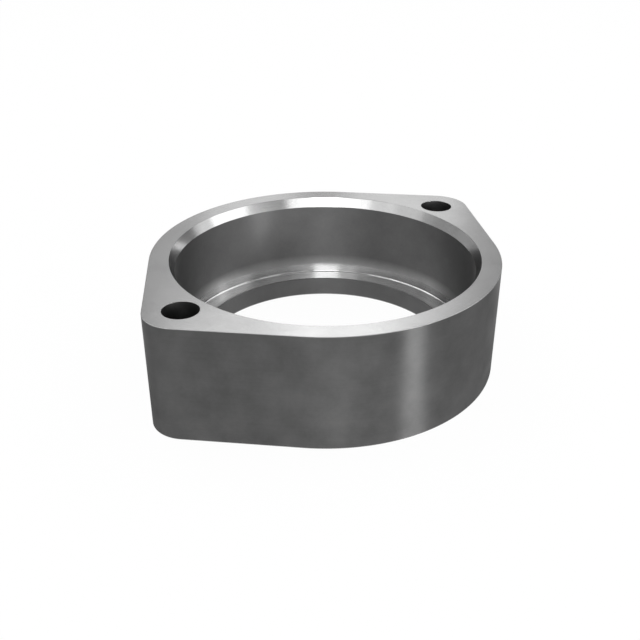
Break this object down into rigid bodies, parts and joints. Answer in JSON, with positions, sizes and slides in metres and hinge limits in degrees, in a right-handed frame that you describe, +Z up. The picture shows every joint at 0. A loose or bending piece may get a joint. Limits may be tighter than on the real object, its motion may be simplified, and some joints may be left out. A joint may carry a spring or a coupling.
{
  "type": "pipe flange",
  "caption": "Thick machined steel pipe flange: a round body with a bolt ear on opposite sides, and a stepped bore with a tapered mouth that takes and seats the end of a pipe.",
  "frame": {"origin": "on the bore's axis, in the plane of the gasket face that the flange stands on", "axes": "+X along the line of the bolt ears, +Y across it, +Z up the bore's axis, from the gasket face towards the mouth of the pipe socket"},
  "size_m": [0.1272, 0.104, 0.034],
  "materials": {
    "machined_steel": "bare carbon steel, turned and milled to a fine satin"
  },
  "bodies": {
    "root": {"socket_flange": "machined_steel"}
  },
  "joints": []
}
